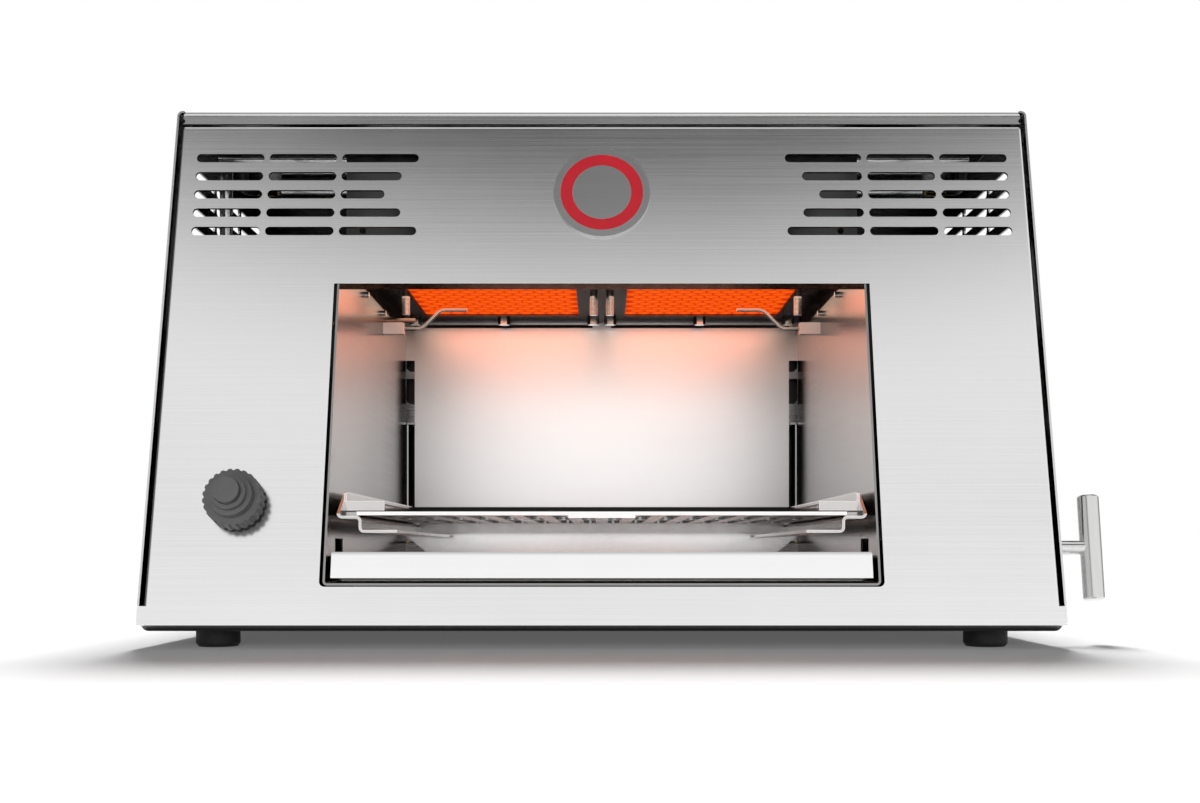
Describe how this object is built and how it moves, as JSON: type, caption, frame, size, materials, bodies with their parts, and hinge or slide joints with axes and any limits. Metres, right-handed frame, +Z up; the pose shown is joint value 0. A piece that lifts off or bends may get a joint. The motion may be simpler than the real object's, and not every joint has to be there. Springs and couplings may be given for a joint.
{
  "type": "portable infrared grill",
  "caption": "Portable gas grill: a leaning-front vented steel body with overhead infrared burners, a lifting grate, a drip tray, a gas knob with igniter button and a T handle.",
  "frame": {"origin": "on the floor, under the middle of the whole part's bounding box", "axes": "+X to the right as seen from the front, +Y to the back, +Z up"},
  "size_m": [0.535, 0.394, 0.312],
  "materials": {
    "brushed_casing": "brushed",
    "brushed_panel": "brushed",
    "inner_steel": "satin",
    "zinc_steel": "satin",
    "screw_steel": "polished",
    "rod_steel": "polished",
    "rubber": "matte",
    "ceramic": "matte ceramic",
    "gasket": "ceramic fibre",
    "aluminised_pipe": "bright",
    "brass": "machined",
    "insulator": "glazed ceramic",
    "black_cable": "matte",
    "copper_tube": "drawn",
    "knob_black": "matte",
    "button_red": "gloss",
    "enamel_red": "gloss"
  },
  "bodies": {
    "housing": {"base_pan": "brushed_casing", "rubber_feet": "rubber", "foot_screws": "screw_steel", "outer_casing": "brushed_casing", "front_panel": "brushed_panel", "rear_panel": "zinc_steel", "chamber_liner": "inner_steel", "liner_supports": "zinc_steel", "chamber_back_wall": "inner_steel", "chamber_back_sill": "inner_steel", "rear_deflector": "inner_steel", "burner_plate": "inner_steel", "burner_front_shield": "zinc_steel", "burner_housing_left": "zinc_steel", "burner_housing_right": "zinc_steel", "ceramic_plaque_left": "ceramic", "ceramic_plaque_right": "ceramic", "plaque_gaskets": "gasket", "venturi_tube_left": "aluminised_pipe", "venturi_tube_right": "aluminised_pipe", "gas_jets": "brass", "jet_elbows": "aluminised_pipe", "manifold_pipe": "aluminised_pipe", "riser_pipe": "aluminised_pipe", "gas_valve": "brass", "valve_nut": "screw_steel", "supply_pipe": "aluminised_pipe", "gas_inlet_fitting": "brass", "igniter_body": "knob_black", "spark_electrodes": "rod_steel", "electrode_insulators": "insulator", "ignition_leads": "black_cable", "thermocouple": "copper_tube", "rack_plate_left": "inner_steel", "rack_plate_right": "inner_steel", "guide_rods": "rod_steel", "rod_collars": "zinc_steel", "emblem_plate": "brushed_panel", "emblem_inlay": "enamel_red", "casing_screws": "screw_steel", "rear_panel_screws": "screw_steel", "burner_bolts": "screw_steel", "burner_plate_screws": "screw_steel"},
    "carriage": {"carriage_rail_left": "inner_steel", "carriage_rail_right": "inner_steel", "anti_tip_guides": "inner_steel", "carriage_crossbeam": "inner_steel", "side_arm": "inner_steel", "stem_sleeve": "zinc_steel", "guide_bushes": "brass"},
    "handle": {"handle_stem": "rod_steel", "handle_bar": "rod_steel", "clamp_washer": "rod_steel", "stem_nut": "screw_steel"},
    "grate": {"cooking_grate": "inner_steel"},
    "tray": {"drip_tray": "brushed_panel"},
    "knob": {"control_knob": "knob_black", "knob_spindle": "zinc_steel"},
    "button": {"ignition_button": "button_red"}
  },
  "joints": [
    {"name": "carriage_lift", "type": "slide", "parent": "housing", "child": "carriage", "axis": [0, 0, 1], "range_m": [0, 0.072]},
    {"name": "handle_turn", "type": "hinge", "parent": "carriage", "child": "handle", "pos_m": [0.2615, -0.13704, 0.0545], "axis": [1, 0, 0], "range_deg": [0, 90]},
    {"name": "grate_slide", "type": "slide", "parent": "carriage", "child": "grate", "axis": [0, -1, 0], "range_m": [0, 0.2]},
    {"name": "tray_slide", "type": "slide", "parent": "housing", "child": "tray", "axis": [0, -1, 0], "range_m": [0, 0.25]},
    {"name": "knob_turn", "type": "hinge", "parent": "housing", "child": "knob", "pos_m": [-0.2171, -0.18166, 0.08179], "axis": [0, -0.9684, 0.2495], "range_deg": [0, 90]},
    {"name": "button_press", "type": "slide", "parent": "housing", "child": "button", "axis": [0, 0.9684, -0.2495], "range_m": [0, 0.005], "stiffness_N_per_m": 400}
  ]
}
